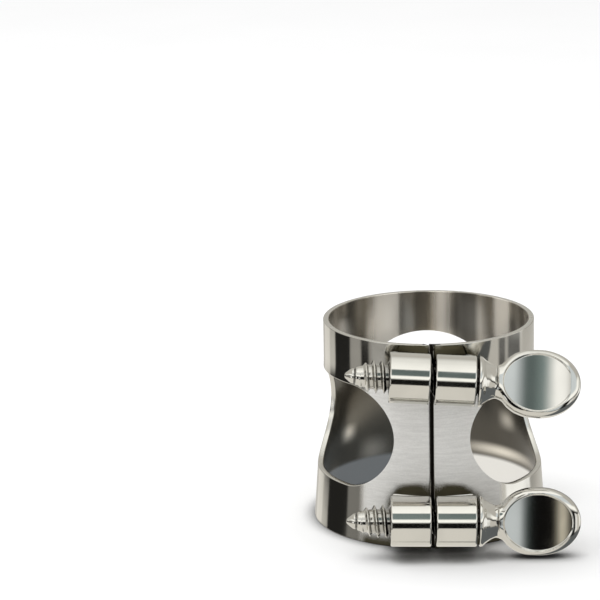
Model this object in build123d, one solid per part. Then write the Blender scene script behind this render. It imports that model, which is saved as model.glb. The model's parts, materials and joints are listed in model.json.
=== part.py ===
from build123d import *
import math
import os

# Two-screw ligature for an alto saxophone mouthpiece, in millimetres.
#
# +Z runs along the bore towards the mouthpiece's tip, and -Y is the front, where the split and the screws
# are. Angles round the band start at the front and grow towards +X. The parts are drawn with the lower rim at
# z = 0, and export_node() then moves the origin to the middle of the straight collar, on the bore's axis.

# Band: a straight collar on a slow cone
WALL = 0.7
BAND_HEIGHT = 25.6
COLLAR_INNER_R = 12.5
COLLAR_HEIGHT = 5.6
RIM_INNER_R = 13.9
RIM_EDGE = 0.12  # small chamfer on the upper and lower rims
SPLIT_WIDTH = 0.6
SPLIT_SLANT = 38.0  # the cut runs aside by this angle, towards -X, as it goes inwards
SEAM_WIDTH = 0.04  # hair gap between the two half nodes, opposite the split

# Windows: a round-ended slot along the wall on each side, and an oval at the back
SIDE_WINDOW_ANGLE = 67.5
SIDE_WINDOW_R = 6.4
SIDE_WINDOW_END_ANGLE = 18.7  # from a window's middle to the centre of each round end
SIDE_WINDOW_Z = 13.1
BACK_WINDOW_HALF_WIDTH = 8.0
BACK_WINDOW_HALF_HEIGHT = 5.1
BACK_WINDOW_Z = 15.25

# Posts: the short tubes that carry the screws
POST_R = 3.1
POST_LENGTH = 4.95
POST_CHAMFER = 0.18
POST_CLEARANCE = 0.03  # between a tube's side and the band at the split
THREADED_BORE_R = 2.15
PLAIN_BORE_R = 2.06
SADDLE_HEIGHT = 4.2
SADDLE_INSET = 0.3  # how far a saddle stops short of its tube's ends
UPPER_SCREW_Z = 22.2
LOWER_SCREW_Z = 4.5
UPPER_SCREW_TILT = 3.5  # how far each screw dips towards its head
LOWER_SCREW_TILT = 0.8

# Thumbscrews: stud
PITCH = 1.0
CREST_R = 2.0
ROOT_R = 1.58
CREST_WIDTH = 0.3
ROOT_WIDTH = 0.3
LEAD_CREST_R = 1.7  # the crests shrink to this over the lead
LEAD_LENGTH = 3.2
NOSE_LENGTH = 1.5
NOSE_BASE_R = 1.6
NOSE_TIP_R = 0.4
STUD_OUT = 5.4  # how far the stud shows beyond the threaded post
TENON_R = 1.0
TENON_LENGTH = 2.4

# Thumbscrews: head
HEAD_GAP = 0.3
HEAD_COLLAR_R = 3.1
HEAD_COLLAR_LAND = 0.3
HEAD_CHAMFER = 0.15
# Each neck section: distance from the collar's face, half height, half thickness
NECK_SECTIONS = (
    (HEAD_COLLAR_LAND, HEAD_COLLAR_R, HEAD_COLLAR_R),
    (0.9, 2.6, 2.5),
    (1.5, 2.15, 1.9),
    (2.1, 2.0, 1.55),
    (3.0, 2.5, 1.4),
    (4.2, 3.3, 1.3),
)
BLADE_CENTRE_X = 7.4
BLADE_HALF_LENGTH = 5.0
BLADE_HALF_HEIGHT = 4.15
BLADE_THICKNESS = 2.8
BLADE_ROUNDING = 1.3
DISH_HALF_LENGTH = 4.2
DISH_HALF_HEIGHT = 3.45
DISH_DEPTH = 0.4
UPPER_FACE_LEAN = 28.0  # how far each dished face leans back at rest
LOWER_FACE_LEAN = 8.0

COLLAR_OUTER_R = COLLAR_INNER_R + WALL
RIM_OUTER_R = RIM_INNER_R + WALL
CONE_TOP = BAND_HEIGHT - COLLAR_HEIGHT
CONE_SLOPE = (RIM_INNER_R - COLLAR_INNER_R) / CONE_TOP
ORIGIN_Z = BAND_HEIGHT - COLLAR_HEIGHT / 2
POST_INNER_X = SPLIT_WIDTH / 2
POST_OUTER_X = POST_INNER_X + POST_LENGTH
HEAD_X = POST_OUTER_X + HEAD_GAP
STUD_TIP_X = -POST_OUTER_X - STUD_OUT


def wall_point(angle, radius):
    """The point in plan at an angle from the front."""
    return (radius * math.sin(math.radians(angle)), -radius * math.cos(math.radians(angle)))


def outer_radius(z):
    """Radius of the band's outer surface at a height."""
    return COLLAR_OUTER_R + CONE_SLOPE * max(0.0, CONE_TOP - z)


def screw_y(z):
    """Where a screw's axis lies in front of the bore, so that its posts just clear the wall."""
    slant = math.atan(CONE_SLOPE) if z < CONE_TOP else 0.0
    return -(outer_radius(z) + (POST_R + POST_CLEARANCE) / math.cos(slant))


def band_envelope():
    """Everything inside the band's outer surface, as one solid."""
    profile = Polyline(
        (0, 0),
        (RIM_OUTER_R, 0),
        (COLLAR_OUTER_R, CONE_TOP),
        (COLLAR_OUTER_R, BAND_HEIGHT),
        (0, BAND_HEIGHT),
        close=True,
    )
    return revolve(Plane.XZ * make_face(profile), Axis.Z)


def band_shell():
    """The rolled sheet before any cut."""
    profile = Polyline(
        (RIM_INNER_R, 0),
        (RIM_OUTER_R - RIM_EDGE, 0),
        (outer_radius(RIM_EDGE), RIM_EDGE),
        (COLLAR_OUTER_R, CONE_TOP),
        (COLLAR_OUTER_R, BAND_HEIGHT - RIM_EDGE),
        (COLLAR_OUTER_R - RIM_EDGE, BAND_HEIGHT),
        (COLLAR_INNER_R, BAND_HEIGHT),
        (COLLAR_INNER_R, CONE_TOP),
        close=True,
    )
    return revolve(Plane.XZ * make_face(profile), Axis.Z)


def window_cutter(angle, end_angle, radius, z):
    """A round-ended slot that runs along the wall, centred on an angle and a height."""
    near = 8.0
    far = 20.0
    corners = [
        wall_point(angle - end_angle, near),
        wall_point(angle - end_angle, far),
        wall_point(angle + end_angle, far),
        wall_point(angle + end_angle, near),
    ]
    cutter = Pos(0, 0, z - radius) * extrude(make_face(Polyline(*corners, close=True)), 2 * radius)
    for end in (angle - end_angle, angle + end_angle):
        x, y = wall_point(end, near)
        outward = Plane(origin=(x, y, z), x_dir=(0, 0, 1), z_dir=(x, y, 0))
        cutter += extrude(outward * Circle(radius), far - near)
    return cutter


def split_section(z):
    """The slanted cut in plan at a height: SPLIT_WIDTH wide along X and centred on the outer surface.

    The slant closes the line of sight through the cut."""
    front = -outer_radius(z)
    corners = []
    for side, inwards in ((-1, -WALL), (1, -WALL), (1, 3 * WALL), (-1, 3 * WALL)):
        aside = -inwards * math.tan(math.radians(SPLIT_SLANT))
        corners.append((side * SPLIT_WIDTH / 2 + aside, front + inwards))
    return Pos(0, 0, z) * make_face(Polyline(*corners, close=True))


def split_cutter():
    """The cut at the front, which follows the cone and then the collar."""
    on_cone = loft([split_section(-WALL), split_section(CONE_TOP)], ruled=True)
    on_collar = loft([split_section(CONE_TOP), split_section(BAND_HEIGHT + WALL)], ruled=True)
    return on_cone + on_collar


def band_halves():
    """The one-piece sheet as two half nodes, left first."""
    band = band_shell()
    for side in (-1, 1):
        angle = side * SIDE_WINDOW_ANGLE
        band -= window_cutter(angle, SIDE_WINDOW_END_ANGLE, SIDE_WINDOW_R, SIDE_WINDOW_Z)
    oval = Ellipse(BACK_WINDOW_HALF_WIDTH, BACK_WINDOW_HALF_HEIGHT)
    band -= Pos(0, 0, BACK_WINDOW_Z) * extrude(Plane.XZ * oval, -2 * RIM_OUTER_R)
    band -= split_cutter()
    band -= Pos(0, RIM_OUTER_R, BAND_HEIGHT / 2) * Box(SEAM_WIDTH, 2 * RIM_OUTER_R, 2 * BAND_HEIGHT)
    return sorted(band.solids(), key=lambda half: half.center().X)


def screw_place(z, tilt):
    """Where a screw's own frame lies: its X axis is the screw's axis."""
    return Pos(0, screw_y(z), z) * Rot(0, tilt, 0)


def post(z, tilt, side, bore_r):
    """A tube along a screw's axis with the saddle that joins it to the band, on one side of the split."""
    middle = Pos(side * (POST_INNER_X + POST_OUTER_X) / 2, 0, 0)
    tube = middle * Rot(0, 90, 0) * Cylinder(POST_R, POST_LENGTH)
    tube = chamfer(tube.edges().filter_by(GeomType.CIRCLE), POST_CHAMFER)
    reach = -screw_y(z)
    saddle = middle * Pos(0, reach / 2, 0) * Box(POST_LENGTH - 2 * SADDLE_INSET, reach, SADDLE_HEIGHT)
    bore = middle * Rot(0, 90, 0) * Cylinder(bore_r, 2 * POST_LENGTH)
    place = screw_place(z, tilt)
    return place * tube + (place * saddle - band_envelope()) - place * bore


def crest_radius(x):
    """Radius of the thread's crests, which shrink towards the nose."""
    lead_end = STUD_TIP_X + NOSE_LENGTH + LEAD_LENGTH
    shrink = min(1.0, max(0.0, (lead_end - x) / LEAD_LENGTH))
    return CREST_R - (CREST_R - LEAD_CREST_R) * shrink


def stud():
    """A threaded stud along X about the origin, with ring grooves at the thread's pitch and a tenon."""
    nose = ThreePointArc(
        (STUD_TIP_X, NOSE_TIP_R),
        (STUD_TIP_X + 0.35 * NOSE_LENGTH, 0.72 * NOSE_BASE_R),
        (STUD_TIP_X + NOSE_LENGTH, NOSE_BASE_R),
    )
    outline = [(STUD_TIP_X + NOSE_LENGTH, NOSE_BASE_R)]
    flank = (PITCH - CREST_WIDTH - ROOT_WIDTH) / 2
    x = STUD_TIP_X + NOSE_LENGTH
    while x + PITCH < HEAD_X:
        outline += [
            (x + ROOT_WIDTH, ROOT_R),
            (x + ROOT_WIDTH + flank, crest_radius(x)),
            (x + ROOT_WIDTH + flank + CREST_WIDTH, crest_radius(x)),
            (x + PITCH, ROOT_R),
        ]
        x += PITCH
    outline += [
        (HEAD_X, ROOT_R),
        (HEAD_X, TENON_R),
        (HEAD_X + TENON_LENGTH, TENON_R),
        (HEAD_X + TENON_LENGTH, 0),
        (STUD_TIP_X, 0),
        (STUD_TIP_X, NOSE_TIP_R),
    ]
    return revolve(make_face([nose, Polyline(*outline)]), Axis.X)


def across(x):
    """The plane square to a screw's axis, with its own x direction along the head's height."""
    return Plane(origin=(x, 0, 0), x_dir=(0, 0, 1), z_dir=(1, 0, 0))


def dish(side):
    """Cutter for the shallow oval hollow in one face of the blade."""
    sphere_r = (DISH_HALF_HEIGHT**2 + DISH_DEPTH**2) / (2 * DISH_DEPTH)
    stretch = DISH_HALF_LENGTH / DISH_HALF_HEIGHT
    bowl = scale(Sphere(sphere_r), by=(stretch, 1, 1))
    centre_y = side * (BLADE_THICKNESS / 2 - DISH_DEPTH + sphere_r)
    return Pos(BLADE_CENTRE_X, centre_y, 0) * bowl


def head():
    """Collar, neck and dished blade along X about the origin, with the collar's face at HEAD_X."""
    collar = Pos(HEAD_COLLAR_LAND / 2, 0, 0) * Rot(0, 90, 0) * Cylinder(HEAD_COLLAR_R, HEAD_COLLAR_LAND)
    collar = chamfer(collar.edges().filter_by(GeomType.CIRCLE).sort_by(Axis.X)[0], HEAD_CHAMFER)
    neck = loft([across(x) * Ellipse(high, thick) for x, high, thick in NECK_SECTIONS])
    blade = extrude(Plane.XZ * Ellipse(BLADE_HALF_LENGTH, BLADE_HALF_HEIGHT), BLADE_THICKNESS / 2, both=True)
    blade = Pos(BLADE_CENTRE_X, 0, 0) * fillet(blade.edges(), BLADE_ROUNDING)
    body = collar + neck + blade
    for side in (-1, 1):
        body -= dish(side)
    socket = Pos(TENON_LENGTH / 2, 0, 0) * Rot(0, 90, 0) * Cylinder(TENON_R, TENON_LENGTH)
    return Pos(HEAD_X, 0, 0) * (body - socket)


def export_node(shape, name):
    """Writes one node, with the origin moved to the middle of the collar."""
    export_step(Pos(0, 0, -ORIGIN_Z) * shape, f"parts/{name}.step")


def main():
    os.makedirs("parts", exist_ok=True)
    left_half, right_half = band_halves()
    export_node(left_half, "band_left_half")
    export_node(right_half, "band_right_half")
    one_stud = stud()
    one_head = head()
    levels = (
        ("upper", UPPER_SCREW_Z, UPPER_SCREW_TILT, UPPER_FACE_LEAN),
        ("lower", LOWER_SCREW_Z, LOWER_SCREW_TILT, LOWER_FACE_LEAN),
    )
    for level, z, tilt, lean in levels:
        export_node(post(z, tilt, -1, THREADED_BORE_R), f"{level}_threaded_post")
        export_node(post(z, tilt, 1, PLAIN_BORE_R), f"{level}_plain_post")
        export_node(screw_place(z, tilt) * one_stud, f"{level}_screw_stud")
        export_node(screw_place(z, tilt) * Rot(-lean, 0, 0) * one_head, f"{level}_thumb_head")


main()
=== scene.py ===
import bmesh
import bpy
import json
import math
from mathutils import Matrix, Vector


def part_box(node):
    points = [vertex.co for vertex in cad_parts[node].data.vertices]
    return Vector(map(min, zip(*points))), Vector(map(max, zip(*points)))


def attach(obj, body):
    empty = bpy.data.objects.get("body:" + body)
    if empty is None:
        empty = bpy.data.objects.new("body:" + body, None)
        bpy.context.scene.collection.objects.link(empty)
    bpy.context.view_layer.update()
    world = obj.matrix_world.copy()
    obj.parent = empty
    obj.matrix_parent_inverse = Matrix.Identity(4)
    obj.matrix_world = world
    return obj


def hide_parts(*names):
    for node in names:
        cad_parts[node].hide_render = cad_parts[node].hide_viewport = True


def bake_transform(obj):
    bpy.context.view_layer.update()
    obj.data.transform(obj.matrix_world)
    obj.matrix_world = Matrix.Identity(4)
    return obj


# Looks for the two-screw saxophone ligature: bright nickel plate in a white studio.
#
# Lengths are in metres. Heights on the band are counted from its lower rim, and angles round it from the
# front, where the split is, towards +X. Each screw is drawn along X in its own frame, whose origin is on the
# screw's axis in the middle of the split, and is then put in its place.

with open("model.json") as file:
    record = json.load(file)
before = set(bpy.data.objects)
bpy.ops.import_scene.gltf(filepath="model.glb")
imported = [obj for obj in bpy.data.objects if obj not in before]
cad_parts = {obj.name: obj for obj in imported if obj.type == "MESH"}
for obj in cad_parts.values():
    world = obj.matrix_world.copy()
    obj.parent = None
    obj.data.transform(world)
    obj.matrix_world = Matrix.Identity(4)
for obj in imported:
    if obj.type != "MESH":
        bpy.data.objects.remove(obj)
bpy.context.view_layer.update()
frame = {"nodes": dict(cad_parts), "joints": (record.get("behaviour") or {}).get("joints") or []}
MM = 0.001

# Band
band_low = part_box("band_left_half")[0]
band_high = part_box("band_right_half")[1]
RIM_Z = band_low.z
BAND_HEIGHT = band_high.z - band_low.z
WALL = 0.7 * MM
COLLAR_R = 13.2 * MM
COLLAR_HEIGHT = 5.6 * MM
CONE_TOP = BAND_HEIGHT - COLLAR_HEIGHT
CONE_SLOPE = 0.07
BEND_LENGTH = 1.2 * MM  # half the height over which the cone turns into the collar
SPLIT_HALF = 0.3 * MM
SPLIT_SHIFT = 0.59 * MM  # how far towards -X the slanted split has run when it reaches the inner surface
SPLIT_SPREAD = math.radians(19)  # the inner surface takes up that shift over this angle
SPLIT_NEAR = math.cos(math.radians(3))  # cosine of the angle from the front within which the split lies
SPLIT_CLIMB = 0.1 * MM  # an edge there that climbs by more than this is the split's, and not a rim's
SPLIT_EDGE_R = 0.015 * MM
CUT_EDGE_R = 0.09 * MM
SHARP = math.radians(65)  # edges that turn by more than this are rounded over
SKIN_NEAR = 0.025 * MM  # points this near to the outer or inner surface are shaded as part of it
SKIN_FACING = 0.9

# The band's mesh: points up and along the edge of a window's block, and rings from the window out to it
BLOCK_UPRIGHT = 44
BLOCK_ALONG = 46
BLOCK_RINGS = 16
RING_CROWDING = 1.25  # above 1, rings lie closer together near the window

# Windows: angle of the middle, angle from there to each end's centre, end radius, height of the middle
SIDE_WINDOW = (67.5, 18.7, 6.4 * MM, 13.1 * MM)
# Back window, an oval seen square on: half width, half height, height of the middle
BACK_WINDOW = (8.0 * MM, 5.1 * MM, 15.25 * MM)
COLUMN_ANGLE = 129.0  # middle of the column between a side window and the back window

# Posts and saddles
POST_R = 3.1 * MM
POST_BORE_R = 2.12 * MM
POST_EDGE_R = 0.2 * MM
POST_BORE_EDGE_R = 0.6 * POST_EDGE_R
SADDLE_HALF = 2.0 * MM
SADDLE_FLARE = 0.16 * MM
SADDLE_INSET = 0.3 * MM
SADDLE_TRIM = 0.12 * MM  # how much narrower it gets on either side towards its two ends
SADDLE_EASE = 0.3  # the share of its width's fullness that the very ends keep
SADDLE_SUNK = 0.3 * MM  # how far it goes into the band's wall

# Screws, from the tip: nose cone, groove, plain land, then ridges on a flat root
PITCH = 1.0 * MM
CREST_R = 2.0 * MM
ROOT_R = 1.5 * MM
RIDGE_HALF = 0.29 * MM
FIRST_RIDGE = 2.2 * MM
RIDGE_GROWTH = 1.6 * MM  # the ridges grow over this length on either side of the first one
RIDGE_START = (FIRST_RIDGE - 0.55 * MM, FIRST_RIDGE - 0.05 * MM)  # no ridge before, all of it after
CREST_FLAT = 0.16  # share of a ridge's half width that is flat on top

FACE_LEAN = {"upper": 28.0, "lower": 8.0}
TROUGH_SHIFT = {"upper": -0.3, "lower": 0.0}  # the dish's lowest line, in half lengths from its middle


# Meshes


def new_object(name, points, faces):
    """A smooth-shaded mesh object with its faces turned outwards."""
    mesh = bpy.data.meshes.new(name)
    work = bmesh.new()
    verts = [work.verts.new(p) for p in points]
    for face in faces:
        work.faces.new([verts[i] for i in face])
    bmesh.ops.recalc_face_normals(work, faces=work.faces)
    work.to_mesh(mesh)
    work.free()
    mesh.shade_smooth()
    made = bpy.data.objects.new(name, mesh)
    bpy.context.scene.collection.objects.link(made)
    return made


def turned(name, profile, segments=160):
    """A closed loop of (x, radius) points turned about X."""
    points = []
    for x, radius in profile:
        for j in range(segments):
            a = 2 * math.pi * j / segments
            points.append((x, radius * math.cos(a), radius * math.sin(a)))
    rows = len(profile)
    faces = []
    for i in range(rows):
        for j in range(segments):
            k = (j + 1) % segments
            i2 = (i + 1) % rows
            faces.append((i * segments + j, i * segments + k, i2 * segments + k, i2 * segments + j))
    return new_object(name, points, faces)


def skinned(name, rows):
    """A skin over closed rows of points, with a flat cap on each end."""
    columns = len(rows[0])
    points = [p for row in rows for p in row]
    faces = [tuple(range(columns)), tuple(range(len(points) - columns, len(points)))]
    for i in range(len(rows) - 1):
        for j in range(columns):
            k = (j + 1) % columns
            faces.append((i * columns + j, i * columns + k, (i + 1) * columns + k, (i + 1) * columns + j))
    return new_object(name, points, faces)


def rounded(corners, radii, steps=5, hold=0.02 * MM):
    """A closed loop with each corner rounded, and a point held close to each end of every arc."""
    loop = []
    count = len(corners)
    for i in range(count):
        before, here, after = (Vector(corners[(i + n) % count]) for n in (-1, 0, 1))
        if not radii[i]:
            loop.append(here)
            continue
        back = (before - here).normalized()
        ahead = (after - here).normalized()
        half = back.angle(ahead) / 2
        reach = radii[i] / math.tan(half)
        centre = here + (back + ahead).normalized() * (radii[i] / math.sin(half))
        start = here + back * reach
        end = here + ahead * reach
        loop.append(start + back * hold)
        for step in range(steps + 1):
            share = step / steps
            sweep = (start - centre).angle(end - centre)
            a = math.sin((1 - share) * sweep) / math.sin(sweep)
            b = math.sin(share * sweep) / math.sin(sweep)
            loop.append(centre + (start - centre) * a + (end - centre) * b)
        loop.append(end + ahead * hold)
    return loop


def smooth_step(value, low, high):
    """Rises smoothly from 0 at low to 1 at high."""
    share = min(1.0, max(0.0, (value - low) / (high - low)))
    return share * share * (3 - 2 * share)


def curve_through(stops):
    """A smooth function through (x, value) stops, level wherever a stop is a peak, a dip or an end."""
    xs = [s[0] for s in stops]
    ys = [s[1] for s in stops]
    slopes = [0.0] * len(stops)
    for i in range(1, len(stops) - 1):
        left = (ys[i] - ys[i - 1]) / (xs[i] - xs[i - 1])
        right = (ys[i + 1] - ys[i]) / (xs[i + 1] - xs[i])
        if left * right > 0:
            slopes[i] = 2 * left * right / (left + right)

    def value(x):
        if x <= xs[0]:
            return ys[0]
        if x >= xs[-1]:
            return ys[-1]
        i = max(n for n in range(len(xs) - 1) if xs[n] <= x)
        h = xs[i + 1] - xs[i]
        t = (x - xs[i]) / h
        return (
            ys[i] * (1 + 2 * t) * (1 - t) ** 2
            + slopes[i] * h * t * (1 - t) ** 2
            + ys[i + 1] * t * t * (3 - 2 * t)
            + slopes[i + 1] * h * t * t * (t - 1)
        )

    return value


# Band


def outer_radius(z):
    """Outside radius of the band at a height: a straight collar that turns gently into a cone."""
    below = CONE_TOP - z
    if below <= -BEND_LENGTH:
        return COLLAR_R
    if below >= BEND_LENGTH:
        return COLLAR_R + CONE_SLOPE * below
    return COLLAR_R + CONE_SLOPE * (below + BEND_LENGTH) ** 2 / (4 * BEND_LENGTH)


def outer_slope(z):
    """How fast the outside radius grows downwards at a height."""
    below = CONE_TOP - z
    return CONE_SLOPE * min(1.0, max(0.0, (below + BEND_LENGTH) / (2 * BEND_LENGTH)))


def wall_point(angle, z, depth):
    """A point of the band, depth below its outer surface."""
    radius = outer_radius(z) - depth
    return Vector((radius * math.sin(angle), -radius * math.cos(angle), RIM_Z + z))


def slot_edge(window, s, t):
    """Where the ray from a side window's middle along (s, t) meets its edge, as an angle and a height."""
    middle, end_angle, radius, height = window
    mean_r = outer_radius(height) - WALL / 2
    half_straight = math.radians(end_angle) * mean_r
    if abs(t) * half_straight >= radius * abs(s):
        s = s * radius / abs(t)
        t = math.copysign(radius, t)
    else:
        slope = t / abs(s)
        a = 1 + slope**2
        reach = (half_straight + math.sqrt(half_straight**2 - a * (half_straight**2 - radius**2))) / a
        s = math.copysign(reach, s)
        t = slope * reach
    beyond = max(0.0, abs(s) - half_straight)
    swing = min(abs(s), half_straight) / mean_r + math.asin(beyond / (outer_radius(height + t) - WALL / 2))
    return math.radians(middle) + math.copysign(swing, s), height + t


def oval_edge(window, s, t):
    """The same for the back window, which is an oval seen square on."""
    half_width, half_height, height = window
    turn = math.atan2(t / half_height, s / half_width)
    z = height + half_height * math.sin(turn)
    return math.pi + math.asin(half_width * math.cos(turn) / (outer_radius(z) - WALL / 2)), z


def window_block(edge_of, window, middle, height, angle_from, angle_to):
    """Rings of (angle, height) from a window's edge out to the rectangle of band that holds it."""
    corners = [(angle_from, 0.0), (angle_to, 0.0), (angle_to, BAND_HEIGHT), (angle_from, BAND_HEIGHT)]
    outline = []
    for corner, count in enumerate((BLOCK_ALONG, BLOCK_UPRIGHT, BLOCK_ALONG, BLOCK_UPRIGHT)):
        a = corners[corner]
        b = corners[(corner + 1) % 4]
        for step in range(count):
            share = step / count
            outline.append((a[0] + (b[0] - a[0]) * share, a[1] + (b[1] - a[1]) * share))
    mean_r = outer_radius(height) - WALL / 2
    edge = [edge_of(window, (a - middle) * mean_r, z - height) for a, z in outline]
    block = []
    for ring in range(BLOCK_RINGS + 1):
        share = (ring / BLOCK_RINGS) ** RING_CROWDING
        block.append([tuple(Vector(e).lerp(Vector(o), share)) for e, o in zip(edge, outline)])
    return block


def band_grid():
    """The unrolled sheet: its (angle, height) points, its quads and its open edges."""
    column = math.radians(COLUMN_ANGLE)
    turn = 2 * math.pi
    left_window = (360 - SIDE_WINDOW[0],) + SIDE_WINDOW[1:]
    blocks = [window_block(oval_edge, BACK_WINDOW, math.pi, BACK_WINDOW[2], column, turn - column)]
    for window, start, end in ((SIDE_WINDOW, 0.0, column), (left_window, turn - column, turn)):
        blocks.append(window_block(slot_edge, window, math.radians(window[0]), window[3], start, end))
    found = {}
    points = []
    quads = []

    def index(angle, z):
        """The number of a point, held off the split's gap, and shared by the blocks that meet in it."""
        at_split = math.asin(SPLIT_HALF / outer_radius(z))
        held = min(max(angle, at_split), turn - at_split)
        key = (round(held, 6), round(z, 8))
        if key not in found:
            found[key] = len(points)
            points.append((held, z))
        return found[key]

    for block in blocks:
        rows = [[index(*p) for p in ring] for ring in block]
        for a, b in zip(rows, rows[1:]):
            for j in range(len(a)):
                k = (j + 1) % len(a)
                quads.append((a[j], b[j], b[k], a[k]))
    uses = {}
    for quad in quads:
        for j in range(4):
            edge = (quad[j], quad[(j + 1) % 4])
            uses.setdefault(tuple(sorted(edge)), []).append(edge)
    open_edges = [edges[0] for edges in uses.values() if len(edges) == 1]
    return points, quads, open_edges


def inner_angle(angle, z):
    """The angle inside the wall that goes with one outside, which differs near the slanted split."""
    from_split = min(angle, 2 * math.pi - angle)
    shift = SPLIT_SHIFT / (outer_radius(z) - WALL)
    return angle - shift * (1 - smooth_step(from_split, 0.0, SPLIT_SPREAD))


def round_over(work, edges, radius, segments):
    """Rounds over edges of a mesh that is being built."""
    bmesh.ops.bevel(
        work,
        geom=edges,
        offset=radius,
        offset_type="OFFSET",
        segments=segments,
        profile=0.5,
        affect="EDGES",
    )
    bmesh.ops.recalc_face_normals(work, faces=work.faces)
    work.normal_update()


def band():
    """The band as one closed sheet of metal with its cut edges rounded over."""
    points, quads, open_edges = band_grid()
    work = bmesh.new()
    outside = [work.verts.new(wall_point(a, z, 0)) for a, z in points]
    inside = [work.verts.new(wall_point(inner_angle(a, z), z, WALL)) for a, z in points]
    for quad in quads:
        work.faces.new([outside[i] for i in quad])
        work.faces.new([inside[i] for i in reversed(quad)])
    for a, b in open_edges:
        work.faces.new((outside[b], outside[a], inside[a], inside[b]))
    bmesh.ops.recalc_face_normals(work, faces=work.faces)
    work.normal_update()
    at_split = [
        work.edges.get((skin[a], skin[b]))
        for a, b in open_edges
        for skin in (outside, inside)
        if math.cos(points[a][0]) > SPLIT_NEAR and math.cos(points[b][0]) > SPLIT_NEAR
        and abs(points[a][1] - points[b][1]) > SPLIT_CLIMB
    ]
    round_over(work, at_split, SPLIT_EDGE_R, 2)
    round_over(work, [e for e in work.edges if e.calc_face_angle(0.0) > SHARP], CUT_EDGE_R, 3)
    mesh = bpy.data.meshes.new("band")
    work.to_mesh(mesh)
    work.free()
    mesh.shade_smooth()
    normals = []
    for vertex, plain in zip(mesh.vertices, mesh.vertex_normals):
        x, y, z = vertex.co
        height = min(BAND_HEIGHT, max(0.0, z - RIM_Z))
        depth = outer_radius(height) - math.hypot(x, y)
        away = Vector((x, y, 0)).normalized() + Vector((0, 0, outer_slope(height)))
        away.normalize()
        facing = plain.vector.dot(away)
        if abs(depth) < SKIN_NEAR and facing > SKIN_FACING:
            normals.append(away)
        elif abs(depth - WALL) < SKIN_NEAR and facing < -SKIN_FACING:
            normals.append(-away)
        else:
            normals.append(plain.vector.copy())
    mesh.normals_split_custom_set_from_vertices(normals)
    made = bpy.data.objects.new("band", mesh)
    bpy.context.scene.collection.objects.link(made)
    return made


# Posts and screws, each drawn in its screw's own frame, which has its X axis along the screw


def screw_place(level):
    """The screw's own frame, from its joint: the X axis points at the thumb head."""
    joint = next(j for j in frame["joints"] if j["name"] == f"{level}_screw_turn")
    dip = math.atan2(joint["axis"][2], -joint["axis"][0])
    return Matrix.Translation(joint["pos_m"]) @ Matrix.Rotation(dip, 4, "Y")


def reach_along(place, node):
    """How far a CAD node reaches along its screw, as the lowest and highest x in the screw's own frame."""
    back = place.inverted()
    along = [(back @ vertex.co).x for vertex in frame["nodes"][node].data.vertices]
    return min(along), max(along)


def post_tube(name, place, start, end):
    """The tube of a post, with rounded ends and an eased bore."""
    corners = [(start, POST_R), (end, POST_R), (end, POST_BORE_R), (start, POST_BORE_R)]
    made = turned(name, rounded(corners, (POST_EDGE_R, POST_EDGE_R, POST_BORE_EDGE_R, POST_BORE_EDGE_R)))
    made.data.transform(place)
    return made


def post_saddle(name, place, start, end):
    """The web that joins a tube to the band, flaring a little where the solder runs out on the band."""
    root_r = (POST_R + POST_BORE_R) / 2  # its root is hidden in the wall of the tube
    stations = 25
    steps = 7
    rows = []

    def wall_y(x, z):
        """Where the band's outer surface lies, in the screw's own frame."""
        spot = place @ Vector((x, 0, z))
        height = min(BAND_HEIGHT, max(0.0, spot.z - RIM_Z))
        return -math.sqrt(outer_radius(height) ** 2 - spot.x**2) - spot.y

    for i in range(stations):
        x = start + SADDLE_INSET + (end - start - 2 * SADDLE_INSET) * i / (stations - 1)
        ease = min(1.0, min(i, stations - 1 - i) / 2 + SADDLE_EASE)
        half_here = SADDLE_HALF - SADDLE_TRIM * (1 - ease)
        row = []
        for side in (1, -1):
            flank = [(math.sqrt(root_r**2 - half_here**2), side * half_here)]
            for step in range(steps + 1):
                turn = math.pi / 2 * step / steps
                z = side * (half_here + SADDLE_FLARE * (1 - math.cos(turn)))
                flank.append((wall_y(x, z) - SADDLE_FLARE * (1 - math.sin(turn)), z))
            flank.append((flank[-1][0] + SADDLE_SUNK, flank[-1][1]))
            if side < 0:
                flank.reverse()
            row += [(x, y, z) for y, z in flank]
        for step in range(1, steps):
            z = half_here * (2 * step / steps - 1)
            row.append((x, math.sqrt(root_r**2 - z**2), z))
        rows.append(row)
    made = skinned(name, rows)
    made.data.transform(place)
    return made


# Radius of the stud without its ridges, along x from its tip
STUD_CORE = curve_through(
    [
        (x * MM, r * MM)
        for x, r in (
            (0, 0.1),
            (0.05, 0.24),
            (0.22, 0.42),
            (1.1, 0.98),
            (1.18, 0.84),
            (1.26, 0.84),
            (1.36, 1.1),
            (1.95, 1.26),
            (2.1, 1.3),
            (3.4, 1.5),
        )
    ]
)
STUD_STEP = 0.04 * MM  # mean distance between two rows of points
STUD_CROWDING = 1.15  # above 1, rows lie closer together near the tip


def stud_radius(x, turns):
    """Radius of the stud at a place along it, x from its tip, and a share of a turn round it."""
    grown = smooth_step(x, FIRST_RIDGE - RIDGE_GROWTH, FIRST_RIDGE + RIDGE_GROWTH)
    phase = (x - FIRST_RIDGE) / PITCH - turns
    off_crest = abs(phase - round(phase)) * PITCH / RIDGE_HALF
    started = smooth_step(x, *RIDGE_START)
    ridge = max(0.0, 1 - max(0.0, off_crest - CREST_FLAT) / (1 - CREST_FLAT)) * started
    return STUD_CORE(x) + (CREST_R - ROOT_R) * grown * ridge


def screw_stud(name, place, start, end):
    """The threaded stud with a real helix, from its rounded nose into the head."""
    segments = 96
    count = int((end - start) / STUD_STEP)
    rows = []
    for i in range(count + 1):
        x = (end - start) * (i / count) ** STUD_CROWDING
        row = []
        for j in range(segments):
            turn = 2 * math.pi * j / segments
            radius = stud_radius(x, j / segments)
            row.append((start + x, radius * math.cos(turn), radius * math.sin(turn)))
        rows.append(row)
    made = skinned(name, rows)
    made.data.transform(place)
    return made


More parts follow.
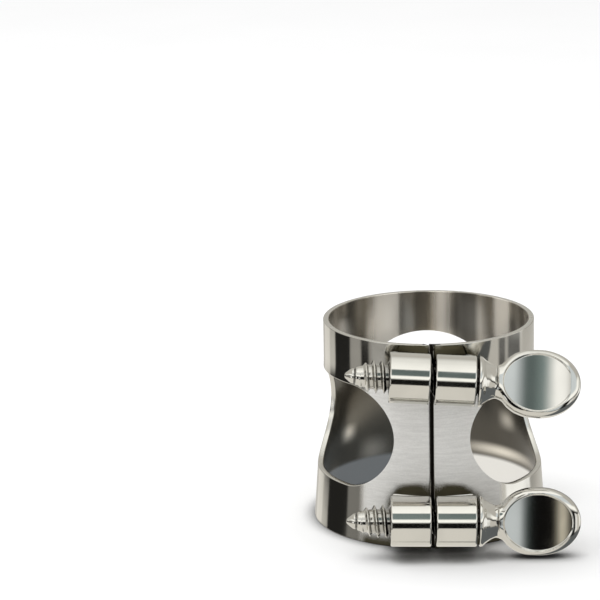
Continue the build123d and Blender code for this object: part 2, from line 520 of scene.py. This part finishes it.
# Half height and half thickness of a thumb head along x from its collar's face
HEAD_HALF_HEIGHT = curve_through(
    [
        (x * MM, a * MM)
        for x, a in (
            (0, 3.1),
            (0.25, 3.08),
            (0.8, 2.66),
            (1.4, 2.24),
            (2.05, 2.0),
            (2.7, 2.2),
            (3.5, 3.0),
            (4.6, 3.7),
            (6.0, 4.1),
            (7.4, 4.15),
        )
    ]
)
HEAD_HALF_THICKNESS = curve_through(
    [
        (x * MM, b * MM)
        for x, b in (
            (0, 3.1),
            (0.25, 3.06),
            (0.9, 2.5),
            (1.6, 1.95),
            (2.4, 1.55),
            (3.4, 1.4),
            (12.4, 1.4),
        )
    ]
)
BLADE_MIDDLE = 7.4 * MM
DISH_MIDDLE = 7.15 * MM
DISH_HALF_LENGTH = 4.3 * MM
DISH_HALF_HEIGHT = 3.6 * MM
DISH_FLOOR = 0.88 * MM  # from the blade's middle plane to the dish's lowest line
DISH_RISE = 0.24 * MM  # how far the floor comes up again at each end of the dish
DISH_EDGE = 0.08  # share of the dish, from its outline inwards, over which its wall drops to the floor
HEAD_EDGE_R = 0.12 * MM
ROUND = 2.0  # power of a round section
BLADE_POWER = 3.6  # power of the blade's section, which is flatter with fuller edges
NECK_START = 1.6 * MM
NECK_END = 5.0 * MM


def dished(x, y, z, trough):
    """How far a point of the head's face stands off the middle plane once the dish is cut.

    The dish's floor is a trough that runs along z."""
    u = (x - DISH_MIDDLE) / DISH_HALF_LENGTH
    q = u**2 + (z / DISH_HALF_HEIGHT) ** 2
    floor = DISH_FLOOR + DISH_RISE * (u - trough) ** 2
    return y - max(0.0, y - floor) * smooth_step(1 - q, 0.0, DISH_EDGE)


def head_rows(length, trough):
    """Rows of points round a head, from its collar's face to its tip."""
    columns = 232
    edge = 5
    shaft = 140
    crown = 110
    stations = []
    for step in range(edge + 1):
        turn = math.pi / 2 * step / edge
        stations.append((HEAD_EDGE_R * (1 - math.cos(turn)), HEAD_EDGE_R * (1 - math.sin(turn))))
    for i in range(1, shaft + 1):
        stations.append((HEAD_EDGE_R + (BLADE_MIDDLE - HEAD_EDGE_R) * i / shaft, 0.0))
    for i in range(1, crown):
        stations.append((BLADE_MIDDLE + (length - BLADE_MIDDLE) * math.sin(math.pi / 2 * i / crown), 0.0))
    rows = []
    for x, trimmed in stations:
        beyond = max(0.0, (x - BLADE_MIDDLE) / (length - BLADE_MIDDLE))
        half_height = HEAD_HALF_HEIGHT(x) * math.sqrt(1 - beyond**2) - trimmed
        power = ROUND + (BLADE_POWER - ROUND) * smooth_step(x, NECK_START, NECK_END)
        half_thick = HEAD_HALF_THICKNESS(x) * (1 - beyond**BLADE_POWER) ** (1 / BLADE_POWER) - trimmed
        row = []
        for j in range(columns):
            a = 2 * math.pi * j / columns
            share = math.sin(a)
            z = half_height * share
            bulge = max(0.0, 1 - abs(share) ** power) ** (1 / power)
            row.append((x, math.copysign(dished(x, half_thick * bulge, z, trough), math.cos(a)), z))
        rows.append(row)
    return rows


def thumb_head(name, level, place, start, end):
    """Collar, neck and dished blade of a thumbscrew, turned to how it stands at rest."""
    made = skinned(name, head_rows(end - start, TROUGH_SHIFT[level]))
    lean = Matrix.Rotation(math.radians(-FACE_LEAN[level]), 4, "X")
    made.data.transform(place @ Matrix.Translation((start, 0, 0)) @ lean)
    return made


# Materials


class Graph:
    """Shorthand for building a node tree. Every method but node returns a socket to link from."""

    def __init__(self, tree):
        self.tree = tree
        tree.nodes.clear()

    def node(self, kind, inputs=(), **settings):
        """Adds a node, with a value or a link for each input that is named."""
        made = self.tree.nodes.new(kind)
        for name, value in settings.items():
            setattr(made, name, value)
        for name, value in dict(inputs).items():
            if isinstance(value, bpy.types.NodeSocket):
                self.tree.links.new(value, made.inputs[name])
            else:
                made.inputs[name].default_value = value
        return made

    def maths(self, operation, a, b=0.0):
        """One sum on numbers or sockets."""
        return self.node("ShaderNodeMath", {0: a, 1: b}, operation=operation).outputs[0]

    def span(self, value, low, high, to_low=0.0, to_high=1.0):
        """Maps a value smoothly from low..high to to_low..to_high."""
        inputs = {"Value": value, "From Min": low, "From Max": high, "To Min": to_low, "To Max": to_high}
        return self.node("ShaderNodeMapRange", inputs, interpolation_type="SMOOTHSTEP").outputs["Result"]

    def mix(self, factor, a, b):
        """Colour a where the factor is 0, and colour b where it is 1."""
        made = self.node("ShaderNodeMix", data_type="RGBA")
        for socket, value in ((made.inputs[0], factor), (made.inputs[6], a), (made.inputs[7], b)):
            if isinstance(value, bpy.types.NodeSocket):
                self.tree.links.new(value, socket)
            else:
                socket.default_value = value
        return made.outputs[2]

    def ramp(self, value, stops, interpolation="LINEAR"):
        """A colour ramp through (place, colour) stops."""
        made = self.node("ShaderNodeValToRGB", {"Fac": value})
        made.color_ramp.interpolation = interpolation
        elements = made.color_ramp.elements
        while len(elements) > 1:
            elements.remove(elements[-1])
        elements[0].position, elements[0].color = stops[0]
        for place, colour in stops[1:]:
            elements.new(place).color = colour
        return made.outputs["Color"]

    def noise(self, vector, scale, detail=3.0, roughness=0.5, distortion=0.0):
        """Soft random blotches between 0 and 1."""
        inputs = {
            "Vector": vector,
            "Scale": scale,
            "Detail": detail,
            "Roughness": roughness,
            "Distortion": distortion,
        }
        return self.node("ShaderNodeTexNoise", inputs).outputs["Fac"]

    def openness(self, reach):
        """How open a place is: 1 with nothing nearer than reach, less in corners and gaps."""
        return self.node("ShaderNodeAmbientOcclusion", {"Distance": reach}, samples=8).outputs["AO"]

    def product(self, *values):
        """Several values multiplied together."""
        result = values[0]
        for value in values[1:]:
            result = self.maths("MULTIPLY", result, value)
        return result

    def total(self, *values):
        """Several values added up."""
        result = values[0]
        for value in values[1:]:
            result = self.maths("ADD", result, value)
        return result


# Depths that tell the band's two skins from its cut edges: where the look fades out, and where it is whole
SKIN_DEPTHS = (0.12 * MM, 0.04 * MM)
CUT_DEPTHS = (0.08 * MM, 0.14 * MM)

# The satin front of the band, below the collar and on either side of the split
FRONT_END = math.radians(40)  # where the satin has gone, and where it begins to go
FRONT_FADE = math.radians(34)
COLLAR_FADE = 0.3 * MM
GRAIN_SCALE = 5200.0
BRUSH_SCALE = 420.0
BRUSH_LEAN = math.radians(35)
BRUSH_STRETCH = 9.0
GRAIN_SHARE = 0.35  # of the grain in the satin's tone; the rest is brush marks
SATIN_TONES = (0.35, 0.65)  # the tones that give the darkest and the lightest brushing
GRAIN_HEIGHT = 0.03
SATIN_ROUGHNESS = 0.34
SATIN_PAINTLIKE = 0.85  # how much of the satin scatters light as paint does
BRUSHED_DARK = (0.69, 0.68, 0.65, 1)
BRUSHED_LIGHT = (0.8, 0.79, 0.76, 1)

# Painted shade in the hollows between the band and the top of each barrel: heights it ends and begins at
LOW_HOLLOW = (9.5 * MM, 8.0 * MM)
HIGH_HOLLOW = (20.5 * MM, 22.0 * MM)
HOLLOW_REACH = 2.4 * MM
HOLLOW_OPENNESS = (0.89, 0.8)
HOLLOW_SHADE = (0.075, 0.068, 0.045, 1)

# Cut edges, and the black of the painted shade in the split and in tight gaps
EDGE_ROUGHNESS = 0.2
SPLIT_REACH = (math.radians(5), math.radians(4.6))
GAP_SHADE = (0.012, 0.01, 0.008, 1)

# Painted reflections on the inside of the back wall, as light and dark streaks: angle from its middle, and
# how bright the metal is there
STREAKS = (
    (-70, 0.45),
    (-58, 0.5),
    (-49, 0.24),
    (-42, 0.32),
    (-36, 0.72),
    (-28, 0.95),
    (-18, 1.0),
    (-14, 0.6),
    (-9, 0.56),
    (-5, 0.27),
    (0, 0.34),
    (4, 0.78),
    (9, 0.97),
    (13.5, 0.82),
    (18.5, 0.26),
    (24, 0.14),
    (29, 0.16),
    (34, 0.6),
    (40, 0.6),
    (47, 1.0),
    (54, 0.95),
    (62, 0.45),
)
STREAK_HEIGHTS = (12 * MM, 19 * MM)  # the streaks fade in upwards between these
STREAK_PAINTLIKE = 0.5  # how much of the brightest streaks scatters light as paint does
STREAK_PAINTLIKE_FROM = 0.6  # streaks darker than this don't

# Painted highlights, as soft bright patches lower down: angle from the back's middle, half width, height,
# half height, brightness
HIGHLIGHT_PATCHES = (
    (-50, 9, 7.7 * MM, 1.7 * MM, 1.0),
    (-31, 14, 4.6 * MM, 2.6 * MM, 0.75),
    (51, 9, 9.4 * MM, 1.9 * MM, 0.55),
    (48, 40, 4.75 * MM, 1.15 * MM, 1.0),
)
BACK_SIDES = (math.radians(95), math.radians(80))  # where the back wall's look ends, and begins to
LEFT_TO_RIGHT = (math.radians(-10), math.radians(10))
# Painted reflection of the floor along the foot of the inside wall: heights it ends and is whole at
FOOT_HEIGHTS = (4.0 * MM, 3.3 * MM)
INSIDE_ROUGHNESS = 0.15
INSIDE_FRONT = (0.6, 0.56, 0.5, 1)
# Painted shade on the lower inside of the back wall: lighter on the left, darker on the right
INSIDE_LEFT = (0.24, 0.225, 0.195, 1)
INSIDE_RIGHT = (0.12, 0.112, 0.098, 1)
INSIDE_BLACK = (0.0, 0.0, 0.0, 1)
INSIDE_HIGHLIGHT = (1.0, 0.95, 0.86, 1)
INSIDE_FOOT_REFLECTION = (0.95, 0.95, 0.95, 1)


def satin_front(graph, place, z, front, look):
    """Fine crossed scratches over a brushed grain, where front is 1 and below the collar."""
    bottom_of_collar = RIM_Z + CONE_TOP
    below_collar = graph.span(z, bottom_of_collar + COLLAR_FADE, bottom_of_collar - COLLAR_FADE)
    satin = graph.product(front, below_collar)
    grain = graph.noise(place, GRAIN_SCALE, roughness=0.65)
    slanted = {"Vector": place, "Rotation": (0.0, BRUSH_LEAN, 0.0), "Scale": (1.0, 1.0, BRUSH_STRETCH)}
    slanted_place = graph.node("ShaderNodeMapping", slanted).outputs[0]
    brushing = graph.noise(slanted_place, BRUSH_SCALE, detail=4.0, roughness=0.7)
    tone = graph.total(graph.product(grain, GRAIN_SHARE), graph.product(brushing, 1 - GRAIN_SHARE))
    brushed = graph.mix(graph.span(tone, *SATIN_TONES), BRUSHED_DARK, BRUSHED_LIGHT)
    look["colour"] = graph.mix(satin, look["colour"], brushed)
    look["roughness"] = graph.total(look["roughness"], graph.product(satin, SATIN_ROUGHNESS))
    look["height"] = graph.total(look["height"], graph.product(grain, satin, GRAIN_HEIGHT))
    look["metallic"] = graph.maths("SUBTRACT", look["metallic"], graph.product(satin, SATIN_PAINTLIKE))


def paint_hollow_shade(graph, z, front, look):
    """Paints dark shade into the hollows between the band and the top of each barrel."""
    low = graph.span(z, *(RIM_Z + height for height in LOW_HOLLOW))
    high = graph.span(z, *(RIM_Z + height for height in HIGH_HOLLOW))
    openness = graph.openness(HOLLOW_REACH)
    hollow_shade = graph.product(graph.span(openness, *HOLLOW_OPENNESS), front, graph.total(low, high))
    # painted shade: the hollows above the barrels are coloured near-black where the band is closed in
    look["colour"] = graph.mix(hollow_shade, look["colour"], HOLLOW_SHADE)
    look["metallic"] = graph.maths("MAXIMUM", look["metallic"], hollow_shade)


def cut_edges(graph, depth, off_front, look):
    """Cut edges are duller than the skin, and painted black in the split as shade."""
    edge = graph.product(graph.span(depth, *CUT_DEPTHS), graph.span(depth, *(WALL - d for d in CUT_DEPTHS)))
    look["roughness"] = graph.total(look["roughness"], graph.product(edge, EDGE_ROUGHNESS))
    in_split = graph.span(off_front, *SPLIT_REACH)
    # painted shade: the cut faces in the split are coloured black
    look["colour"] = graph.mix(graph.product(in_split, edge), look["colour"], GAP_SHADE)


def inside_wall(graph, x, y, z, depth, look):
    """Inside: brown and dull, with painted reflections and highlights on the back wall as streaks and
    patches, painted shade that is darker on its right, and a painted reflection of the floor along the foot.
    """
    inside = graph.span(depth, *(WALL - d for d in SKIN_DEPTHS))
    behind = graph.maths("ARCTAN2", x, y)
    at_back = graph.span(graph.maths("ABSOLUTE", behind), *BACK_SIDES)
    # painted shade: the lower inside of the back wall is darker on the right than on the left
    lower = graph.mix(graph.span(behind, *LEFT_TO_RIGHT), INSIDE_LEFT, INSIDE_RIGHT)
    # painted highlights: soft bright patches on the lower inside of the back wall
    for angle, half_width, middle_z, half_height, level in HIGHLIGHT_PATCHES:
        aside = graph.maths("ABSOLUTE", graph.maths("SUBTRACT", behind, math.radians(angle)))
        above = graph.maths("ABSOLUTE", graph.maths("SUBTRACT", z, RIM_Z + middle_z))
        across = graph.span(aside, math.radians(half_width), 0.0)
        patch = graph.product(across, graph.span(above, half_height, 0.0))
        lower = graph.mix(patch, lower, tuple(level * c for c in INSIDE_HIGHLIGHT[:3]) + (1,))
    # painted reflections: light and dark streaks round the back wall near the collar
    stops = [(0.5 + angle / 360, (level, level, level, 1.0)) for angle, level in STREAKS]
    streak = graph.ramp(graph.total(graph.product(behind, 0.5 / math.pi), 0.5), stops, "EASE")
    near_collar = graph.span(z, *(RIM_Z + height for height in STREAK_HEIGHTS))
    back_wall = graph.mix(near_collar, lower, graph.mix(streak, INSIDE_BLACK, INSIDE_HIGHLIGHT))
    dull = graph.mix(at_back, INSIDE_FRONT, back_wall)
    # painted reflection of the floor: a bright band along the foot of the inside wall
    foot = graph.product(graph.span(z, *(RIM_Z + height for height in FOOT_HEIGHTS)), inside)
    look["colour"] = graph.mix(inside, look["colour"], graph.mix(foot, dull, INSIDE_FOOT_REFLECTION))
    matt = graph.product(graph.maths("SUBTRACT", inside, foot), INSIDE_ROUGHNESS)
    look["roughness"] = graph.total(look["roughness"], matt)
    # the brightest painted streaks also scatter light as paint does, so they stand out as painted highlights
    paintlike_streaks = graph.product(graph.span(streak, STREAK_PAINTLIKE_FROM, 1.0, 0.0, STREAK_PAINTLIKE), near_collar, at_back, inside)
    look["metallic"] = graph.maths("SUBTRACT", look["metallic"], paintlike_streaks)


def rolled_sheet(graph, place, look):
    """What the band has over plain plate, told apart by depth in the wall, angle and height."""
    x, y, z = (graph.node("ShaderNodeSeparateXYZ", {0: place}).outputs[i] for i in range(3))
    off_front = graph.maths("ABSOLUTE", graph.maths("ARCTAN2", x, graph.product(y, -1.0)))
    outward = graph.maths("SQRT", graph.total(graph.product(x, x), graph.product(y, y)))
    cone = graph.product(graph.maths("SUBTRACT", RIM_Z + CONE_TOP, z), CONE_SLOPE)
    outer = graph.total(COLLAR_R, graph.maths("MAXIMUM", cone, 0.0))
    depth = graph.maths("SUBTRACT", outer, outward)
    skin = graph.span(depth, *SKIN_DEPTHS)
    front = graph.product(graph.span(off_front, FRONT_END, FRONT_FADE), skin)
    satin_front(graph, place, z, front, look)
    paint_hollow_shade(graph, z, front, look)
    cut_edges(graph, depth, off_front, look)
    inside_wall(graph, x, y, z, depth, look)


# Plate: smudges, fine hairlines along z, and the swell of the metal under it
SMUDGE_SCALE = 200.0
SMUDGE_EDGE = (0.35, 0.7)
SMUDGE_TINT = 0.95
HAIRLINE_SCALE = 1500.0
HAIRLINE_STRETCH = 12.0
HAIRLINE_HAZE = 0.6  # share of the haze that the hairlines add as well
HAIRLINE_HEIGHT = 0.012
SWELL_SCALE = 190.0
# Painted shade in tight gaps and thread roots: how far it looks for nearby surfaces, and the openness at
# which it is darkest
CREVICE_REACH = 0.9 * MM
CREVICE_BLACK = 0.3
BUMP_STRENGTH = 0.35
BUMP_HEIGHT = 0.1 * MM


def plated(name, tint, polish, haze, ripple, unshaded_from, sheet=False):
    """Nickel plate: polish is its least roughness, haze what smudges add, ripple how far the metal swells.

    Tight gaps and the roots of the thread get painted shade; how open a place has to be to get none is given
    after ripple."""
    material = bpy.data.materials.new(name)
    material.use_nodes = True
    graph = Graph(material.node_tree)
    place = graph.node("ShaderNodeTexCoord").outputs["Object"]
    smudge = graph.span(graph.noise(place, SMUDGE_SCALE, detail=2.0, distortion=0.4), *SMUDGE_EDGE)
    stretch = {"Vector": place, "Scale": (1.0, 1.0, HAIRLINE_STRETCH)}
    stretched_place = graph.node("ShaderNodeMapping", stretch).outputs[0]
    hairline = graph.noise(stretched_place, HAIRLINE_SCALE, detail=2.0, roughness=0.7)
    swell = graph.noise(place, SWELL_SCALE, detail=1.0, roughness=0.4)
    smudged = tuple(c * SMUDGE_TINT for c in tint)
    look = {
        "colour": graph.mix(smudge, tint + (1.0,), smudged + (1.0,)),
        "roughness": graph.total(
            polish, graph.product(smudge, haze), graph.product(hairline, haze * HAIRLINE_HAZE)
        ),
        "height": graph.total(graph.product(swell, ripple), graph.product(hairline, HAIRLINE_HEIGHT)),
        "metallic": 1.0,
    }
    if sheet:
        rolled_sheet(graph, place, look)
    # painted shade: tight gaps and thread roots are darkened towards black
    unshaded = graph.span(graph.openness(CREVICE_REACH), CREVICE_BLACK, unshaded_from)
    bump = {"Height": look["height"], "Strength": BUMP_STRENGTH, "Distance": BUMP_HEIGHT}
    surface = graph.node(
        "ShaderNodeBsdfPrincipled",
        {
            "Base Color": graph.mix(unshaded, GAP_SHADE, look["colour"]),
            "Metallic": look["metallic"],
            "Roughness": look["roughness"],
            "Normal": graph.node("ShaderNodeBump", bump).outputs["Normal"],
        },
    )
    graph.node("ShaderNodeOutputMaterial", {"Surface": surface.outputs[0]})
    return material


def paint(piece, material):
    """Gives a piece one material."""
    piece.data.materials.clear()
    piece.data.materials.append(material)


# Studio: what the plate reflects, given by direction. Azimuth counts from the front towards +X.

ROOM_LIGHT = 0.85  # strength of the light that falls on matt surfaces
WHITE = (1.0, 1.0, 0.98)
WARM = (1.0, 0.97, 0.9)
BEIGE = (1.0, 0.93, 0.76)
TEAL = (0.8, 1.02, 1.0)
BLUE = (0.93, 1.0, 1.04)


def panels(graph, azimuth, cards, soft=1.2):
    """A ramp round the horizon, in which each card stands from its own edge to the next one's.

    A card is (edge, brightness, tint); each edge is soft over this many degrees to either side."""
    stops = []
    for start, bright, tint in cards:
        card = tuple(bright * c for c in tint) + (1.0,)
        if stops:
            stops.append((start - soft, stops[-1][1]))
        stops.append((start + soft if stops else start, card))
    place = graph.total(graph.product(azimuth, 0.5 / math.pi), 0.5)
    return graph.ramp(place, [((a + 180) / 360, colour) for a, colour in stops])


# Cards round the horizon, in three rings: azimuth of the edge in degrees, brightness, tint
LOW_CARDS = (
    (-180, 0.6, WARM),
    (-160, 0.85, WARM),
    (-140, 0.62, WARM),
    (-125.5, 0.02, WARM),
    (-97, 0.38, WARM),
    (-80.5, 0.004, WARM),
    (-70, 0.3, WARM),
    (-46, 0.012, WARM),
    (-12, 0.83, WARM),
    (12, 0.012, WARM),
    (46, 0.2, WARM),
    (64, 0.6, WARM),
    (81, 0.08, WARM),
    (90, 0.4, WARM),
    (95, 0.07, WARM),
    (117, 0.6, WARM),
)
MIDDLE_CARDS = (
    (-180, 0.3, WARM),
    (-160, 0.5, WARM),
    (-138, 0.02, WARM),
    (-92.5, 0.22, WARM),
    (-76, 0.35, WARM),
    (-66, 1.15, WHITE),
    (-40, 0.006, WARM),
    (-6.05, 0.9, BEIGE),
    (-3.6, 0.004, WARM),
    (6.6, 0.07, TEAL),
    (8.8, 0.72, BLUE),
    (26, 0.012, WARM),
    (40, 1.0, WHITE),
    (52, 0.7, WARM),
    (82, 1.2, WHITE),
    (122, 0.3, WARM),
)
HIGH_CARDS = (
    (-180, 0.6, WARM),
    (-60, 0.85, WHITE),
    (-21, 0.15, BEIGE),
    (-10.8, 1.25, WHITE),
    (-1.8, 0.3, TEAL),
    (3.3, 0.15, TEAL),
    (11.5, 0.84, BLUE),
    (60, 0.6, WARM),
)
HIGH_SOFTNESS = 2.5
FLOOR_CARDS = ((-180, 0.83, WARM), (30, 0.15, BLUE), (150, 0.83, WARM))

# The sky above the cards, in front and behind: elevation in degrees, colour
FRONT_SKY = (
    (8, (0.012, 0.01, 0.008, 1)),
    (14, (1.3, 1.3, 1.25, 1)),
    (50, (1.35, 1.35, 1.3, 1)),
    (90, (1.1, 1.1, 1.06, 1)),
)
BACK_SKY = (
    (3, (0.45, 0.44, 0.4, 1)),
    (20, (0.6, 0.59, 0.55, 1)),
    (45, (0.5, 0.5, 0.47, 1)),
    (70, (1.0, 1.0, 0.96, 1)),
    (90, (1.1, 1.1, 1.06, 1)),
)
BACK_TO_FRONT = (-0.25, 0.35)  # cosine of the azimuth at which the back's sky ends, and the front's is whole

# Elevations, in degrees, between which one ring of the mirrored room fades into the next
FLOOR_TO_LOW = (-21, -17.6)
LOW_TO_MIDDLE = (-16, -13.5)
MIDDLE_TO_SKY = (3, 6)
HIGH_MIDDLE = 39.5
HIGH_HALF = (17, 11)  # the ring of high cards has ended, and is whole, this far from its middle


def studio_world():
    """White to the camera, plain light to matt surfaces, and a room of cards to the polished plate."""
    world = bpy.data.worlds.new("studio")
    world.use_nodes = True
    bpy.context.scene.world = world
    graph = Graph(world.node_tree)
    direction = graph.node("ShaderNodeTexCoord").outputs["Generated"]
    x, y, z = (graph.node("ShaderNodeSeparateXYZ", {0: direction}).outputs[i] for i in range(3))
    azimuth = graph.maths("ARCTAN2", x, graph.product(y, -1.0))
    elevation = graph.maths("ARCSINE", z)
    low_cards = panels(graph, azimuth, LOW_CARDS)
    middle_cards = panels(graph, azimuth, MIDDLE_CARDS)
    high_cards = panels(graph, azimuth, HIGH_CARDS, HIGH_SOFTNESS)
    floor = panels(graph, azimuth, FLOOR_CARDS)

    def between(start, end):
        """0 below the first elevation and 1 above the second."""
        return graph.span(elevation, math.radians(start), math.radians(end))

    def sky_ramp(stops):
        """Colour by elevation."""
        height = graph.total(graph.product(elevation, 1 / math.pi), 0.5)
        return graph.ramp(height, [((angle + 90) / 180, colour) for angle, colour in stops])

    forward = graph.maths("COSINE", azimuth)
    sky = graph.mix(graph.span(forward, *BACK_TO_FRONT), sky_ramp(BACK_SKY), sky_ramp(FRONT_SKY))
    off_ring = graph.maths("ABSOLUTE", graph.maths("SUBTRACT", elevation, math.radians(HIGH_MIDDLE)))
    sky = graph.mix(graph.span(off_ring, *(math.radians(a) for a in HIGH_HALF)), sky, high_cards)
    seen = graph.mix(between(*FLOOR_TO_LOW), floor, low_cards)
    seen = graph.mix(between(*LOW_TO_MIDDLE), seen, middle_cards)
    seen = graph.mix(between(*MIDDLE_TO_SKY), seen, sky)
    ray = graph.node("ShaderNodeLightPath").outputs
    mirrored = graph.node("ShaderNodeBackground", {"Color": seen, "Strength": 1.0}).outputs[0]
    room = graph.node("ShaderNodeBackground", {"Color": (1, 1, 1, 1), "Strength": ROOM_LIGHT}).outputs[0]
    paper = graph.node("ShaderNodeBackground", {"Color": (1, 1, 1, 1), "Strength": 1.0}).outputs[0]
    plain = graph.node("ShaderNodeMixShader", {0: ray["Is Camera Ray"], 1: room, 2: paper}).outputs[0]
    shown = graph.node("ShaderNodeMixShader", {0: ray["Is Glossy Ray"], 1: plain, 2: mirrored}).outputs[0]
    graph.node("ShaderNodeOutputWorld", {"Surface": shown})


FLOOR_REACH = 1.5  # from the middle to each side
PAPER = (0.93, 0.95)  # darkest and lightest tone
PAPER_SCALE = 40.0
PAPER_ROUGHNESS = 0.9
# Painted contact shadow: how far it looks, the openness it runs between, and its darkest tone
CONTACT_REACH = 3.0 * MM
CONTACT_OPENNESS = (0.3, 0.95)
CONTACT_SHADOW_TONE = 0.1


def studio_floor():
    """A plain white floor that fades into the white of the room, with a painted contact shadow where the
    object stands on it.
    """
    corners = [(x * FLOOR_REACH, y * FLOOR_REACH, RIM_Z) for x, y in ((-1, -1), (1, -1), (1, 1), (-1, 1))]
    made = new_object("floor", corners, [(0, 1, 2, 3)])
    material = bpy.data.materials.new("floor_paper")
    material.use_nodes = True
    graph = Graph(material.node_tree)
    place = graph.node("ShaderNodeTexCoord").outputs["Object"]
    paper = graph.span(graph.noise(place, PAPER_SCALE), 0.0, 1.0, *PAPER)
    # painted shadow: the floor is darkened where the object closes it in
    contact_shadow = graph.span(graph.openness(CONTACT_REACH), *CONTACT_OPENNESS, CONTACT_SHADOW_TONE, 1.0)
    tone = graph.product(paper, contact_shadow)
    colour = graph.node("ShaderNodeCombineColor", {0: tone, 1: tone, 2: tone}).outputs[0]
    surface = graph.node("ShaderNodeBsdfPrincipled", {"Base Color": colour, "Roughness": PAPER_ROUGHNESS})
    surface.inputs["Specular IOR Level"].default_value = 0.0
    graph.node("ShaderNodeOutputMaterial", {"Surface": surface.outputs[0]})
    paint(made, material)
    made.visible_glossy = False


def area_light(name, place, aim, size, watts):
    """A softbox that lights the floor and the satin but is not mirrored."""
    light = bpy.data.lights.new(name, "AREA")
    light.shape = "RECTANGLE"
    light.size, light.size_y = size
    light.energy = watts
    made = bpy.data.objects.new(name, light)
    bpy.context.scene.collection.objects.link(made)
    made.location = place
    made.rotation_euler = (Vector(aim) - Vector(place)).to_track_quat("-Z", "Y").to_euler()
    made.visible_glossy = False
    return made


def studio_camera():
    """The view slightly from above and nearly square to the split, with the object low at the right."""
    distance = 0.4223  # from the target
    elevation = math.radians(16.862)
    yaw = math.radians(-1.532)
    roll = math.radians(-0.308)
    picture = 600  # dots across
    focal = 3338.5  # in dots
    target_right = 128.99  # dots from the picture's middle
    target_below = 113.01
    target = Vector((0, 0, RIM_Z + 13 * MM))
    back = Vector(
        (math.sin(yaw) * math.cos(elevation), -math.cos(yaw) * math.cos(elevation), math.sin(elevation))
    )
    camera = bpy.data.cameras.new("camera")
    camera.sensor_width = 36.0
    camera.lens = camera.sensor_width * focal / picture
    camera.clip_start = 0.01
    camera.clip_end = 20.0
    made = bpy.data.objects.new("camera", camera)
    bpy.context.scene.collection.objects.link(made)
    facing = (-back).to_track_quat("-Z", "Y").to_matrix().to_4x4()
    pan = Matrix.Rotation(math.atan(target_right / focal), 4, "Y")
    tilt = Matrix.Rotation(math.atan(target_below / focal), 4, "X")
    looking = facing @ Matrix.Rotation(roll, 4, "Z") @ pan @ tilt
    made.matrix_world = Matrix.Translation(target + back * distance) @ looking
    bpy.context.scene.camera = made


# The object

studio_camera()
studio_world()
studio_floor()
area_light("overhead", place=(-0.12, 0.05, 0.45), aim=(0, 0, RIM_Z), size=(0.35, 0.35), watts=0.95)
bpy.context.scene.view_settings.view_transform = "Standard"
bpy.context.scene.cycles.glossy_bounces = 8

NICKEL = (0.73, 0.715, 0.67)
band_metal = plated("nickel_band", NICKEL, polish=0.05, haze=0.04, ripple=0.6, unshaded_from=0.75, sheet=True)
post_metal = plated("nickel_posts", NICKEL, polish=0.07, haze=0.03, ripple=0.15, unshaded_from=0.85)
stud_metal = plated("nickel_screws", NICKEL, polish=0.06, haze=0.04, ripple=0.1, unshaded_from=0.98)
head_metal = plated("nickel_heads", NICKEL, polish=0.06, haze=0.03, ripple=0.15, unshaded_from=0.7)

sheet = band()
paint(sheet, band_metal)
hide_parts("band_left_half", "band_right_half")
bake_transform(sheet)

for level in ("upper", "lower"):
    place = screw_place(level)
    for kind, body in (("threaded", "left_half"), ("plain", "right_half")):
        node = f"{level}_{kind}_post"
        start, end = reach_along(place, node)
        tube = post_tube(f"{node}_tube", place, start, end)
        saddle = post_saddle(f"{node}_saddle", place, start, end)
        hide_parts(node)
        for piece in (tube, saddle):
            paint(piece, post_metal)
            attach(piece, body)
    stud = screw_stud(f"{level}_stud", place, *reach_along(place, f"{level}_screw_stud"))
    head = thumb_head(f"{level}_head", level, place, *reach_along(place, f"{level}_thumb_head"))
    for piece, metal, slot in ((stud, stud_metal, "screws"), (head, head_metal, "heads")):
        paint(piece, metal)
        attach(piece, f"{level}_screw")
    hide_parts(f"{level}_screw_stud")
    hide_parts(f"{level}_thumb_head")
